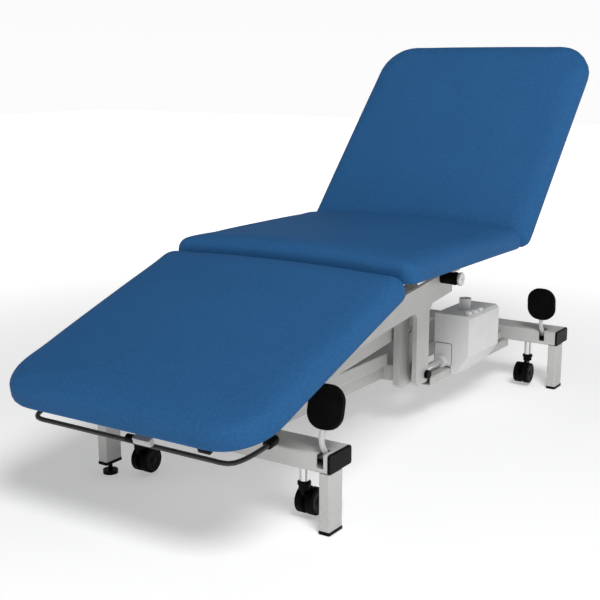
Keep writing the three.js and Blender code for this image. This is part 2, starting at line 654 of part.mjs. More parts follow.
function castorWheel(x, y) {
  const at = [x, WHEEL_LIFT + WHEEL_RADIUS];
  const discs = [[y - 20, y - 5], [y + 5, y + 20]].map((width) => rodY(WHEEL_RADIUS, at, width, 36));
  return join(rodY(4, at, [y - 8, y + 8], 16), ...discs);
}

function buildCastors() {
  for (const [end, castor] of [['front', FRONT_CASTOR], ['rear', REAR_CASTOR]]) {
    for (const [name, side] of SIDES) {
      const y = side * castor.y;
      const stem = rodZ(STEM_RADIUS, [castor.x, y], [STEM_BOTTOM, PEDAL_SHAFT_Z - 8]);
      add(`castor_stem_${end}_${name}`, stem, chrome);
      add(`castor_yoke_${end}_${name}`, castorYoke(castor.x, y, castor.trail), blackPlastic);
      add(`castor_wheel_${end}_${name}`, castorWheel(castor.x + castor.trail, y), blackRubber);
    }
  }
}

// Pedal: a cross shaft inside the tube, a bent arm up through the slot, and a pad on its end.
function buildPedals() {
  for (const [end, x] of [['front', FRONT_TUBE_X], ['rear', REAR_TUBE_X]]) {
    const { y, lean } = PEDALS[end];
    const group = new THREE.Group();
    group.position.set(x, -y, PEDAL_SHAFT_Z);
    group.rotation.y = rad(lean);
    model.add(group);
    const reach = BASE_HALF_WIDTH - 8;
    const shaft = rodY(7, [0, 0], [y - reach, y + reach], 16);
    const bend = [[0, 0, 0], [-13, 0, 8], [-24, 0, 20], [-34, 0, 37], [-37, 0, 53], [-31.5, 0, 66]];
    add(`pedal_arm_${end}`, join(shaft, tubeAlong(bend, 6, 14)), greySteel, group);
    const pad = new THREE.ExtrudeGeometry(roundedRectangle(80, 90, 34), {
      depth: 9, bevelThickness: 3, bevelSize: 3, bevelOffset: -3, bevelSegments: 2, curveSegments: 5,
    });
    pad.rotateX(Math.PI / 2).rotateZ(Math.PI / 2).translate(-4.5, 0, 46);
    pad.rotateY(rad(13)).translate(-30.5, 0, 66);
    add(`pedal_pad_${end}`, pad, blackRubber, group);
  }
}

buildBase();
buildLift();
buildUpperFrame();
buildSections();
buildStruts();
add('actuator_housing', actuatorHousing(), greyPlastic);
add('actuator_rod', actuatorRod(), chrome);
buildCastors();
buildPedals();

export default table;
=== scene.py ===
"""Finishes, cushions and small fittings for the exam table, laid out as a Blender add-on."""

import json
import math

import bmesh
import bpy
from bpy.props import FloatProperty, FloatVectorProperty, PointerProperty
from mathutils import Matrix, Vector


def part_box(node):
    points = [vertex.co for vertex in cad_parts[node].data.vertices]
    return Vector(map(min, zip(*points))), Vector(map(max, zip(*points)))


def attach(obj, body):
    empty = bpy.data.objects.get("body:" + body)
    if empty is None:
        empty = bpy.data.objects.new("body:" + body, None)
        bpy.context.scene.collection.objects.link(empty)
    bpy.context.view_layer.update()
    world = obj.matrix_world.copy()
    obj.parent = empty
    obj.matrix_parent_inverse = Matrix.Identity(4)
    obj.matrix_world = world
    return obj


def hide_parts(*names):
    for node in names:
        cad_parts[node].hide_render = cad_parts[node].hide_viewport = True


bl_info = {
    "name": "Exam table finishes",
    "version": (1, 0, 0),
    "blender": (4, 5, 0),
    "location": "View3D > Sidebar > Exam Table",
    "description": "Builds the padded sections, fittings and finishes of a lifting exam table",
    "category": "Object",
}

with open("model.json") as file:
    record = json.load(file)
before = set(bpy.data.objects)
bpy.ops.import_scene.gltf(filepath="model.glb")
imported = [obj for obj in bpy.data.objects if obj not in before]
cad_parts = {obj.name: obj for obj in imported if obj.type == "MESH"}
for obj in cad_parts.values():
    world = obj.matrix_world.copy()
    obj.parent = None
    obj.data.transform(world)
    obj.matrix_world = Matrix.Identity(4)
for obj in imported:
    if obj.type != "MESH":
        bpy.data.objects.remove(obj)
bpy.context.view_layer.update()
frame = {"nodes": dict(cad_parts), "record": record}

SIDES = (("near", -1), ("far", 1))
HINGE_Z = 0.432
ORIGIN_X = 0.5426  # middle of the table, measured from the foot-end legs
LEG_HINGE_X = 0.3447 - ORIGIN_X
BACK_HINGE_X = 0.95 - ORIGIN_X
LEG_ANGLE = math.radians(-18.9)
BACK_ANGLE = math.radians(-47.2)
CUSHION_BASE = 0.4543
CUSHION_TOP = 0.509
HALF_WIDTH = 0.325
TUBE_WIDTH = 0.085
TUBE_HEIGHT = 0.04
HINGE_CAP_Y = 0.1722
HOUSING_FRONT_X = 0.855 - ORIGIN_X
SOCKET_Z = 0.2668

# Cushions: their two kinds of ends, and how far the top's fall and its easing reach from them.
FREE_END, JOINT_END = "free", "joint"
FREE_END_FALL = 0.14
JOINT_EASING = 0.06
JOINT_EASE = 0.6  # share of the crown that is lost at a joint
SIDE_FALL_POWER = 2.2
BASE_ROUND = 0.012
FILL_STEPS = 20  # steps of the cloth that fills a cushion
SMOOTHINGS = 12  # passes that take out the small wrinkles

# Name, place, aim, size and power of each studio light.
LIGHTS = (
    ("key_light", (-2.3, -2.6, 4.2), (0.1, 0.0, 0.4), 2.0, 196.0),
    ("side_light", (1.6, -4.4, 2.4), (0.6, 0.0, 0.2), 2.6, 6.0),
    ("top_light", (0.4, 0.4, 4.4), (0.1, 0.0, 0.3), 3.4, 10.0),
)

# Brightness of the studio's walls, against the height of the direction.
SKY_LEVELS = ((0.0, 0.97), (0.09, 0.95), (0.15, 0.2), (1.0, 0.07))

SENSOR_WIDTH = 36.0  # mm, as is the lens
LENS = 67.08
CAMERA_PLACE = (-1.7481 - ORIGIN_X, -1.3935, 0.9157)
CAMERA_YAW = math.radians(33.45)
CAMERA_PITCH = math.radians(-12.03)


# ---- shader helpers -------------------------------------------------------------------------
class Value:
    """A socket that adds Math nodes when it is used in an expression."""

    def __init__(self, tree, socket):
        self.tree = tree
        self.socket = socket

    def _with(self, operation, *values):
        return self.tree.node("ShaderNodeMath", {"operation": operation}, values)

    def __add__(self, other):
        return self._with("ADD", self, other)

    __radd__ = __add__

    def __sub__(self, other):
        return self._with("SUBTRACT", self, other)

    def __rsub__(self, other):
        return self._with("SUBTRACT", other, self)

    def __mul__(self, other):
        return self._with("MULTIPLY", self, other)

    __rmul__ = __mul__

    def step(self, low, high):
        """0 below low, 1 above high, smooth between."""
        return self.tree.node("ShaderNodeMapRange", {"interpolation_type": "SMOOTHSTEP"},
                              (self, low, high, 0.0, 1.0))


class Tree:
    """A node tree that nodes are added to."""

    def __init__(self, tree):
        self.tree = tree

    def node(self, kind, options, inputs, output=0):
        """A node of that type: options first, then its sockets' values or links by place or name."""
        made = self.tree.nodes.new(kind)
        for key, value in options.items():
            if key == "stops":
                self.fill_ramp(made.color_ramp, value)
            else:
                setattr(made, key, value)
        pairs = inputs.items() if isinstance(inputs, dict) else enumerate(inputs)
        for key, value in pairs:
            self.feed(made.inputs[key], value)
        return Value(self, made.outputs[output])

    def feed(self, socket, value):
        if isinstance(value, Value):
            self.tree.links.new(value.socket, socket)
        else:
            socket.default_value = value

    @staticmethod
    def fill_ramp(ramp, stops):
        """Puts a grey of that level at each position."""
        while len(ramp.elements) < len(stops):
            ramp.elements.new(0.5)
        for element, (position, level) in zip(ramp.elements, stops):
            element.position = position
            element.color = (level, level, level, 1.0)


class Sheet(Tree):
    """One material's node tree."""

    def __init__(self, name):
        self.material = bpy.data.materials.new(f"{name}_finish")
        self.material.use_nodes = True
        super().__init__(self.material.node_tree)
        self.shader = self.tree.nodes["Principled BSDF"]
        self.place = self.node("ShaderNodeTexCoord", {}, (), "Object")

    def noise(self, scale, detail=3.0, roughness=0.5, stretch=None):
        place = self.place
        if stretch:
            place = self.node("ShaderNodeVectorMath", {"operation": "MULTIPLY"}, (place, stretch))
        inputs = {"Vector": place, "Scale": scale, "Detail": detail, "Roughness": roughness}
        return self.node("ShaderNodeTexNoise", {}, inputs)

    def cells(self, scale, feature="DISTANCE_TO_EDGE"):
        inputs = {"Vector": self.place, "Scale": scale}
        return self.node("ShaderNodeTexVoronoi", {"feature": feature}, inputs)

    def height(self):
        """World height of the point, in metres."""
        return self.node("ShaderNodeSeparateXYZ", {}, (self.place,), "Z")

    def mix(self, amount, first, second):
        """The first colour where the amount is 0, the second where it is 1."""
        inputs = {0: amount, 6: first, 7: second}
        return self.node("ShaderNodeMix", {"data_type": "RGBA"}, inputs, 2)

    def bump(self, height, strength, distance, normal=None):
        inputs = {"Height": height, "Strength": strength, "Distance": distance}
        if normal:
            inputs["Normal"] = normal
        return self.node("ShaderNodeBump", {}, inputs)

    def finish(self, color, roughness, normal=None, color_of_glow=None, **constants):
        self.feed(self.shader.inputs["Base Color"], color)
        if color_of_glow:
            self.feed(self.shader.inputs["Emission Color"], color_of_glow)
        self.feed(self.shader.inputs["Roughness"], roughness)
        if normal:
            self.feed(self.shader.inputs["Normal"], normal)
        for name, value in constants.items():
            self.shader.inputs[name.replace("_", " ")].default_value = value
        return self.material


def shade(color, factor):
    """The colour, lighter or darker by that factor, as four numbers."""
    return (color[0] * factor, color[1] * factor, color[2] * factor, 1.0)


def grey(level):
    return (level, level, level, 1.0)


# ---- finishes -------------------------------------------------------------------------------
def coated_fabric(color):
    """Fine-grained upholstery cloth: pebbled grain with painted shade in its grooves, slow folds of
    tone, painted highlights on the crease ridges and a soft sheen.
    """
    s = Sheet("blue_vinyl")
    warp = s.noise(9.0, 2.0)
    pebbles = s.cells(620.0)
    fine = s.cells(1350.0)
    grain = pebbles.step(0.02, 0.34) * 0.7 + fine.step(0.0, 0.4) * 0.3
    creases = s.noise(150.0, 4.0, 0.65)
    tone = s.mix(warp.step(0.3, 0.7), shade(color, 0.98), shade(color, 1.02))
    # painted shade: darker in the low grooves between the grain's pebbles
    tone = s.mix(grain * -0.16 + 0.16, tone, shade(color, 0.55))
    # painted highlight: lighter on the raised crease ridges, standing in for the light they catch
    tone = s.mix(creases.step(0.36, 0.64) * 0.3, tone, shade(color, 1.4))
    rough = 0.6 + creases * 0.12 - grain * 0.07
    coarse = s.bump(creases, 0.35, 0.0009)
    normal = s.bump(grain, 0.32, 0.00035, coarse)
    return s.finish(tone, rough, normal, Specular_IOR_Level=0.06)


def satin_paint(name, color, rub=0.1):
    """Powder-coated steel: orange peel, faint mottling, rubbed patches and dust low down."""
    s = Sheet(name)
    peel = s.noise(420.0, 2.0, 0.4)
    mottle = s.noise(14.0, 4.0, 0.6)
    rubbed = s.noise(55.0, 6.0, 0.7, (1.0, 1.0, 0.35)).step(0.6, 0.82)
    low = 1 - s.height().step(0.0, 0.11)
    dust = low * s.noise(90.0, 5.0, 0.7).step(0.35, 0.75)
    tone = s.mix(mottle.step(0.3, 0.7), shade(color, 0.965), shade(color, 1.025))
    tone = s.mix(rubbed * rub, tone, shade(color, 1.14))
    tone = s.mix(dust * 0.28, tone, shade(color, 0.55))
    rough = 0.36 + mottle * 0.12 + dust * 0.2 - rubbed * 0.05
    return s.finish(tone, rough, s.bump(peel, 0.11, 0.0004), Metallic=0.15)


def moulded_plastic(name, color, grain_scale=900.0, rough=0.42, depth=0.2):
    """Spark-eroded plastic: fine pits, slightly cloudy gloss, handling marks."""
    s = Sheet(name)
    pits = s.cells(grain_scale, "F1")
    cloud = s.noise(30.0, 4.0, 0.6)
    marks = s.noise(260.0, 3.0, 0.6, (1.0, 0.25, 1.0)).step(0.62, 0.8)
    dark = color[0] < 0.2
    tone = s.mix(cloud, shade(color, 0.9), shade(color, 1.1))
    tone = s.mix(marks * 0.14, tone, (0.05, 0.05, 0.052, 1.0) if dark else shade(color, 0.85))
    level = rough - 0.05 + cloud * 0.12 + marks * 0.12
    specular = 0.08 if dark else 0.3
    return s.finish(tone, level, s.bump(pits, depth, 0.00025), Specular_IOR_Level=specular)


def moulded_rubber(color):
    """Matt rubber with a dusty bloom and tiny mould pits."""
    s = Sheet("black_rubber")
    pits = s.noise(750.0, 3.0, 0.6)
    bloom = s.noise(40.0, 5.0, 0.65).step(0.45, 0.8)
    tone = s.mix(bloom * 0.22, shade(color, 1.0), (0.02, 0.02, 0.019, 1.0))
    rough = 0.58 + bloom * 0.2
    return s.finish(tone, rough, s.bump(pits, 0.25, 0.0004), Specular_IOR_Level=0.05)


def polished_metal(name, color, rough=0.12):
    """Plated or turned metal: lengthwise polishing lines and faint smears."""
    s = Sheet(name)
    lines = s.noise(900.0, 2.0, 0.5, (1.0, 1.0, 0.04))
    smears = s.noise(35.0, 5.0, 0.7).step(0.45, 0.8)
    tone = s.mix(smears * 0.3, shade(color, 1.0), shade(color, 0.8))
    level = rough + smears * 0.13 + lines * 0.06
    return s.finish(tone, level, s.bump(lines, 0.05, 0.0002), Metallic=1.0)


def studio_floor():
    """Seamless off-white studio paper."""
    s = Sheet("studio_floor")
    fibre = s.noise(60.0, 4.0, 0.6)
    tone = s.mix(fibre, grey(0.8), grey(0.84))
    reach = s.node("ShaderNodeVectorMath", {"operation": "LENGTH"}, (s.place,), "Value")
    glow = s.mix(reach.step(0.6, 3.8), grey(0.46), grey(1.36))
    return s.finish(tone, 0.75 + fibre * 0.1, s.bump(fibre, 0.02, 0.0005), color_of_glow=glow,
                    Specular_IOR_Level=0.2, Emission_Strength=0.72)


# ---- mesh helpers ---------------------------------------------------------------------------
def mesh_object(name, bm, material, smooth=True):
    mesh = bpy.data.meshes.new(name)
    bmesh.ops.recalc_face_normals(bm, faces=bm.faces)
    bm.to_mesh(mesh)
    bm.free()
    obj = bpy.data.objects.new(name, mesh)
    bpy.context.scene.collection.objects.link(obj)
    mesh.materials.append(material)
    for face in mesh.polygons:
        face.use_smooth = smooth
    return obj


def apply_modifiers(obj):
    graph = bpy.context.evaluated_depsgraph_get()
    mesh = bpy.data.meshes.new_from_object(obj.evaluated_get(graph))
    old = obj.data
    obj.modifiers.clear()
    obj.data = mesh
    bpy.data.meshes.remove(old)


def hinge_turn(hinge_x, angle):
    """The turn from a section's level place to its resting place."""
    there = Matrix.Translation((hinge_x, 0, HINGE_Z))
    return there @ Matrix.Rotation(angle, 4, "Y") @ there.inverted()


def outline_points(half_x, half_y, high, low, steps, flat):
    """Rounded rectangle round the origin, with one corner radius at high X and one at low X.

    Its flat sides get points about `flat` apart."""
    points = []
    for quarter in range(4):
        start = quarter * math.pi / 2
        sx, sy = ((1, 1), (-1, 1), (-1, -1), (1, -1))[quarter]
        radius = high if sx > 0 else low
        cx, cy = sx * (half_x - radius), sy * (half_y - radius)
        for i in range(steps + 1):
            a = start + i * math.pi / 2 / steps
            points.append(Vector((cx + radius * math.cos(a), cy + radius * math.sin(a))))
    filled = []
    for here, there in zip(points, points[1:] + points[:1]):
        filled.append(here)
        count = int((there - here).length / flat)
        filled += [here.lerp(there, k / (count + 1)) for k in range(1, count + 1)]
    return filled


def loft(rings, close=True):
    """Skins rings of equal length, each a list of 3D points, into a closed solid."""
    bm = bmesh.new()
    rows = [[bm.verts.new(p) for p in ring] for ring in rings]
    for low, high in zip(rows, rows[1:]):
        for i in range(len(low)):
            j = (i + 1) % len(low)
            bm.faces.new((low[i], low[j], high[j], high[i]))
    if close:
        bm.faces.new(list(reversed(rows[0])))
        bm.faces.new(rows[-1])
    return bm


def turned(profile, steps=40):
    """Rings for a turned piece along +Z: profile is (radius, height) pairs."""
    rings = []
    for radius, height in profile:
        angles = (2 * math.pi * i / steps for i in range(steps))
        rings.append([Vector((radius * math.cos(a), radius * math.sin(a), height)) for a in angles])
    return rings


def rounded_slab(half_x, half_y, corner, profile, steps=6):
    """A slab along +Z with rounded corners: profile is (inset, height) pairs."""
    rings = []
    for inset, height in profile:
        radius = max(corner - inset, 0.0004)
        ring = outline_points(half_x - inset, half_y - inset, radius, radius, steps, 1.0)
        rings.append([Vector((p.x, p.y, height)) for p in ring])
    return rings


def place(rings, matrix):
    return [[matrix @ p for p in ring] for ring in rings]


def along(axis, point):
    """Matrix that carries +Z to the axis and the origin to the point."""
    return Matrix.Translation(point) @ Vector(axis).to_track_quat("Z", "Y").to_matrix().to_4x4()


def fitting(name, rings, matrix, material, body):
    """One small piece, made from rings, riding on a body."""
    obj = mesh_object(name, loft(place(rings, matrix)), material)
    mark_sharp(obj)
    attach(obj, body)
    return obj


def mark_sharp(obj, degrees=35):
    """Shades smooth, with hard creases where faces meet at more than this angle."""
    bm = bmesh.new()
    bm.from_mesh(obj.data)
    limit = math.radians(degrees)
    for edge in bm.edges:
        edge.smooth = len(edge.link_faces) != 2 or edge.calc_face_angle(0.0) < limit
    bm.to_mesh(obj.data)
    bm.free()
    obj.data.update()


# ---- user settings --------------------------------------------------------------------------
class TableSizes(bpy.types.PropertyGroup):
    """Sizes of the cushions."""
    crown: FloatProperty(name="Crown", description="How far a cushion's middle rises above its edge",
                         default=0.008, min=0.0, max=0.01, subtype="DISTANCE", unit="LENGTH")
    shoulder: FloatProperty(name="Shoulder", description="How far a cushion's top falls at its edges",
                            default=0.007, min=0.0, max=0.015, subtype="DISTANCE", unit="LENGTH")
    edge_round: FloatProperty(name="Edge rounding", description="Radius of a cushion's upper edge",
                              default=0.026, min=0.005, max=0.027, subtype="DISTANCE", unit="LENGTH")
    corner: FloatProperty(name="Corner radius", description="Plan radius of the outer corners",
                          default=0.105, min=0.02, max=0.2, subtype="DISTANCE", unit="LENGTH")
    joint_corner: FloatProperty(name="Joint corner", description="Plan radius where cushions meet",
                                default=0.028, min=0.01, max=0.1, subtype="DISTANCE", unit="LENGTH")
    swell: FloatProperty(name="Swell limit", description="Furthest the cover moves when it is filled",
                         default=0.006, min=0.0, max=0.03, subtype="DISTANCE", unit="LENGTH")
    voxel: FloatProperty(name="Cloth mesh", description="Mesh size of the cover while it is filled",
                         default=0.0066, min=0.004, max=0.02, subtype="DISTANCE", unit="LENGTH")


class TableColours(bpy.types.PropertyGroup):
    """Colours of the finishes."""
    upholstery: FloatVectorProperty(name="Upholstery", description="Coated fabric of the cushions",
                                    default=(0.022, 0.1, 0.25), min=0.0, max=1.0, subtype="COLOR")
    paint: FloatVectorProperty(name="Frame paint", description="Pale grey paint of the steelwork",
                               default=(0.52, 0.52, 0.508), min=0.0, max=1.0, subtype="COLOR")
    housing: FloatVectorProperty(name="Housing", description="Moulded housing of the actuator",
                                 default=(0.72, 0.72, 0.72), min=0.0, max=1.0, subtype="COLOR")
    black: FloatVectorProperty(name="Black parts", description="Pads, caps, wheels and release bar",
                               default=(0.0015, 0.0015, 0.0016), min=0.0, max=1.0, subtype="COLOR")


class ExamTableSettings(bpy.types.PropertyGroup):
    """All settings of the exam table."""
    sizes: PointerProperty(type=TableSizes, name="Sizes", description="Sizes of the cushions")
    colours: PointerProperty(type=TableColours, name="Colours", description="Colours of the finishes")


def settings():
    return bpy.context.scene.exam_table


def finish_named(name):
    """The finish of that slot, made the first time it is asked for."""
    found = bpy.data.materials.get(f"{name}_finish")
    if found:
        return found
    colours = settings().colours
    black = tuple(colours.black)
    makers = {
        "blue_vinyl": lambda: coated_fabric(tuple(colours.upholstery)),
        "grey_steel": lambda: satin_paint("grey_steel", tuple(colours.paint)),
        "black_steel": lambda: satin_paint("black_steel", (0.02, 0.02, 0.021), 0.2),
        "grey_plastic": lambda: moulded_plastic("grey_plastic", tuple(colours.housing), 700.0, 0.5),
        "black_plastic": lambda: moulded_plastic("black_plastic", black),
        "black_rubber": lambda: moulded_rubber(black),
        "chrome": lambda: polished_metal("chrome", (0.78, 0.78, 0.79)),
        "zinc": lambda: polished_metal("zinc", (0.62, 0.62, 0.62), 0.3),
    }
    return makers[name]()


# ---- operators ------------------------------------------------------------------------------
class EXAMTABLE_OT_stage(bpy.types.Operator):
    """Floor, soft studio lights and the camera"""
    bl_idname = "exam_table.stage"
    bl_label = "Stage"

    def execute(self, context):
        bm = bmesh.new()
        bmesh.ops.create_grid(bm, x_segments=1, y_segments=1, size=14.0)
        floor = mesh_object("floor", bm, studio_floor(), False)
        self.world()
        for row in LIGHTS:
            self.light(*row)
        self.camera()
        return {"FINISHED"}

    @staticmethod
    def world():
        world = bpy.data.worlds.new("studio")
        world.use_nodes = True
        background = world.node_tree.nodes["Background"]
        tree = Tree(world.node_tree)
        direction = tree.node("ShaderNodeTexCoord", {}, (), "Generated")
        height = tree.node("ShaderNodeSeparateXYZ", {}, (direction,), "Z")
        sky = tree.node("ShaderNodeValToRGB", {"stops": SKY_LEVELS}, (height,))
        tree.feed(background.inputs["Color"], sky)
        background.inputs["Strength"].default_value = 1.0
        bpy.context.scene.world = world
        bpy.context.scene.view_settings.view_transform = "Standard"

    @staticmethod
    def light(name, position, target, size, power):
        data = bpy.data.lights.new(name, "AREA")
        data.shape = "DISK"
        data.size = size
        data.energy = power
        lamp = bpy.data.objects.new(name, data)
        lamp.location = position
        lamp.rotation_euler = (Vector(target) - Vector(position)).to_track_quat("-Z", "Y").to_euler()
        bpy.context.scene.collection.objects.link(lamp)

    @staticmethod
    def camera():
        data = bpy.data.cameras.new("camera")
        data.sensor_width = SENSOR_WIDTH
        data.lens = LENS
        data.clip_end = 60.0
        camera = bpy.data.objects.new("camera", data)
        camera.location = CAMERA_PLACE
        level = math.cos(CAMERA_PITCH)
        forward = Vector((math.cos(CAMERA_YAW) * level, math.sin(CAMERA_YAW) * level,
                          math.sin(CAMERA_PITCH)))
        camera.rotation_euler = forward.to_track_quat("-Z", "Y").to_euler()
        bpy.context.scene.collection.objects.link(camera)
        bpy.context.scene.camera = camera


class EXAMTABLE_OT_steelwork(bpy.types.Operator):
    """Finishes of the parts that keep their shape"""
    bl_idname = "exam_table.steelwork"
    bl_label = "Steelwork finishes"

    def execute(self, context):
        slots = {row["node"]: row["material_slot"] for row in frame["record"]["subparts"]}
        for node, obj in frame["nodes"].items():
            material = finish_named(slots[node])
            obj.data.materials.clear()
            obj.data.materials.append(material)
        return {"FINISHED"}


class EXAMTABLE_OT_cushions(bpy.types.Operator):
    """Leg, seat and back cushions"""
    bl_idname = "exam_table.cushions"
    bl_label = "Cushions"

    def execute(self, context):
        leg = hinge_turn(LEG_HINGE_X, LEG_ANGLE)
        back = hinge_turn(BACK_HINGE_X, BACK_ANGLE)
        level = Matrix.Identity(4)
        seat_span = (0.3 - ORIGIN_X, 0.896 - ORIGIN_X)
        leg_span = (LEG_HINGE_X - 0.654, LEG_HINGE_X - 0.047)
        back_span = (BACK_HINGE_X - 0.0015, BACK_HINGE_X + 0.6674)
        self.cushion("seat", seat_span, (JOINT_END, JOINT_END), level, "upper_frame")
        self.cushion("leg", leg_span, (FREE_END, JOINT_END), leg, "leg_section")
        self.cushion("back", back_span, (JOINT_END, FREE_END), back, "back_section")
        return {"FINISHED"}

    def cushion(self, name, span_x, ends, turn, body):
        sizes = settings().sizes
        half = Vector(((span_x[1] - span_x[0]) / 2, HALF_WIDTH))
        middle = Vector(((span_x[0] + span_x[1]) / 2, 0.0, 0.0))
        cover = self.cover(half, sizes, ends, name != "seat")
        obj = mesh_object(f"{name}_pad", cover, finish_named("blue_vinyl"))
        obj.data.transform(Matrix.Translation(middle))
        self.fill(obj, sizes)
        smooth = obj.modifiers.new("rounding", "SUBSURF")
        smooth.levels = smooth.render_levels = 1
        apply_modifiers(obj)
        self.settle(obj, middle, half, sizes, ends)
        obj.data.transform(turn)
        for face in obj.data.polygons:
            face.use_smooth = True
        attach(obj, body)
        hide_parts(f"{name}_cushion")

    @staticmethod
    def cover(half, sizes, ends, tight):
        """The cover before it is filled: a little smaller all round, with a bullnose edge.

        A tight cover is less rounded where it meets the next cushion."""
        shrink = 0.0015
        corners = [sizes.corner if end == FREE_END else sizes.joint_corner for end in ends]
        easing = [0.45 if tight and end == JOINT_END else 1.0 for end in ends]
        low, high = CUSHION_BASE, CUSHION_TOP - shrink
        edge = sizes.edge_round
        rings = []
        for i in range(6):
            a = math.pi / 2 * i / 5
            rings.append((BASE_ROUND * (1 - math.sin(a)), low + BASE_ROUND * (1 - math.cos(a))))
        for i in range(1, 11):
            a = math.pi / 2 * i / 10
            rings.append((edge * (1 - math.cos(a)), high - edge + edge * math.sin(a)))
        reach = min(half) - edge
        for i in range(1, 15):
            rings.append((edge + reach * (i / 15) ** 1.15, high))
        points = []
        for inset, z in rings:
            low_inset, high_inset = (inset - min(inset, edge) * (1.0 - ease) for ease in easing)
            low_corner, high_corner = (max(corner - inset, 0.003) for corner in corners)
            half_x = half.x - shrink - (low_inset + high_inset) / 2
            half_y = half.y - shrink - inset
            ring = outline_points(half_x, half_y, high_corner, low_corner, 8, 0.03)
            shift = Vector(((low_inset - high_inset) / 2, 0.0))
            points.append(([p + shift for p in ring], z))
        count = max(len(ring) for ring, _ in points)
        rows = [[Vector((*p, z)) for p in resample(ring, count)] for ring, z in points]
        bm = loft(rows, close=False)
        bm.verts.ensure_lookup_table()
        bm.faces.new([bm.verts[i] for i in reversed(range(count))])
        bm.faces.new([bm.verts[i] for i in range(len(bm.verts) - count, len(bm.verts))])
        return bm

    @staticmethod
    def fill(obj, sizes):
        """Blows the cover up as cloth held at its underside; how far it may move is limited."""
        remesh = obj.modifiers.new("even", "REMESH")
        remesh.mode = "VOXEL"
        remesh.voxel_size = sizes.voxel
        apply_modifiers(obj)
        before = [v.co.copy() for v in obj.data.vertices]
        held = obj.vertex_groups.new(name="held")
        underside = CUSHION_BASE + 0.004
        held.add([v.index for v in obj.data.vertices if v.co.z < underside], 1.0, "REPLACE")
        cloth = obj.modifiers.new("fill", "CLOTH")
        cloth.settings.quality = 4
        cloth.settings.mass = 0.3
        cloth.settings.tension_stiffness = 25.0
        cloth.settings.compression_stiffness = 25.0
        cloth.settings.bending_stiffness = 2.0
        cloth.settings.use_pressure = True
        cloth.settings.uniform_pressure_force = 4.0
        cloth.settings.vertex_group_mass = "held"
        cloth.settings.effector_weights.gravity = 0.0
        cloth.point_cache.frame_start = 1
        cloth.point_cache.frame_end = FILL_STEPS
        for number in range(1, FILL_STEPS + 1):
            bpy.context.scene.frame_set(number)
        apply_modifiers(obj)
        bpy.context.scene.frame_set(1)
        moves = [vertex.co - start for vertex, start in zip(obj.data.vertices, before)]
        moves = [move * min(1.0, sizes.swell / max(move.length, 1e-9)) for move in moves]
        for _ in range(SMOOTHINGS):
            moves = even_out(obj.data, moves)
        for vertex, start, move in zip(obj.data.vertices, before, moves):
            vertex.co = start + move

    @staticmethod
    def settle(obj, middle, half, sizes, ends):
        """Flat where it rests on its board, as wide as its section, and domed across its top."""
        widest = [max(abs(v.co[k] - middle[k]) for v in obj.data.vertices) for k in (0, 1)]
        low_end, high_end = middle.x - half.x, middle.x + half.x
        for vertex in obj.data.vertices:
            co = vertex.co
            for k in (0, 1):
                co[k] = middle[k] + (co[k] - middle[k]) * half[k] / widest[k]
            co.z = min(max(co.z, CUSHION_BASE), CUSHION_TOP + 0.003)
            across = min(abs(co.y) / half.y, 1.0) ** SIDE_FALL_POWER
            reach = {FREE_END: 1.0, JOINT_END: 1.0}
            for x, end in zip((low_end, high_end), ends):
                reach[end] = min(reach[end], abs(co.x - x))
            slope = max(1.0 - reach[FREE_END] / FREE_END_FALL, 0.0) ** 2
            joint = JOINT_EASE * max(1.0 - reach[JOINT_END] / JOINT_EASING, 0.0)
            share = (co.z - CUSHION_BASE) / (CUSHION_TOP - CUSHION_BASE)
            rise = sizes.crown * (1.0 - across) * (1.0 - slope) * (1.0 - joint)
            co.z += share * (rise - sizes.shoulder * max(across, slope))


def even_out(mesh, moves):
    """Each vertex's move, averaged with those of its neighbours."""
    total = [move.copy() for move in moves]
    count = [1] * len(moves)
    for edge in mesh.edges:
        a, b = edge.vertices
        total[a] += moves[b]
        total[b] += moves[a]
        count[a] += 1
        count[b] += 1
    return [move / number for move, number in zip(total, count)]


def resample(points, count):
    """The closed loop of points, spaced evenly with that many points from its first one."""
    loop = points + points[:1]
    lengths = [0.0]
    for a, b in zip(loop, loop[1:]):
        lengths.append(lengths[-1] + (b - a).length)
    found = []
    k = 0
    for i in range(count):
        target = lengths[-1] * i / count
        while lengths[k + 1] < target:
            k += 1
        part = (target - lengths[k]) / max(lengths[k + 1] - lengths[k], 1e-9)
        found.append(loop[k].lerp(loop[k + 1], part))
    return found


class EXAMTABLE_OT_base_fittings(bpy.types.Operator):
    """End caps of the cross tubes and inserts under the legs"""
    bl_idname = "exam_table.base_fittings"
    bl_label = "Base fittings"

    def execute(self, context):
        black = finish_named("black_plastic")
        cap = rounded_slab(TUBE_WIDTH / 2, TUBE_HEIGHT / 2, 0.006,
                           ((0.0025, -0.002), (0.0, 0.0), (0.0, 0.0035), (0.0018, 0.0055)))
        for end in ("front", "rear"):
            low, high = (Vector(p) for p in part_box(f"{end}_cross_tube"))
            x = (low.x + high.x) / 2 if end == "front" else high.x - TUBE_WIDTH / 2
            for name, side in SIDES:
                face = Vector((x, side * high.y, (low.z + high.z) / 2))
                turn = Matrix.Translation(face) @ Matrix.Rotation(-side * math.pi / 2, 4, "X")
                fitting(f"tube_cap_{end}_{name}", cap, turn, black, "base")
                self.leg_insert(end, name, black)
        return {"FINISHED"}

    @staticmethod
    def leg_insert(end, name, material):
        low, high = (Vector(p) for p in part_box(f"{end}_leg_{name}"))
        band = rounded_slab((high.x - low.x) / 2 + 0.0012, (high.y - low.y) / 2 + 0.0012, 0.004,
                            ((0.0012, 0.0), (0.0, 0.001), (0.0, 0.006), (0.0011, 0.0075)))
        at = Matrix.Translation(((low.x + high.x) / 2, (low.y + high.y) / 2, low.z))
        fitting(f"leg_insert_{end}_{name}", band, at, material, "base")


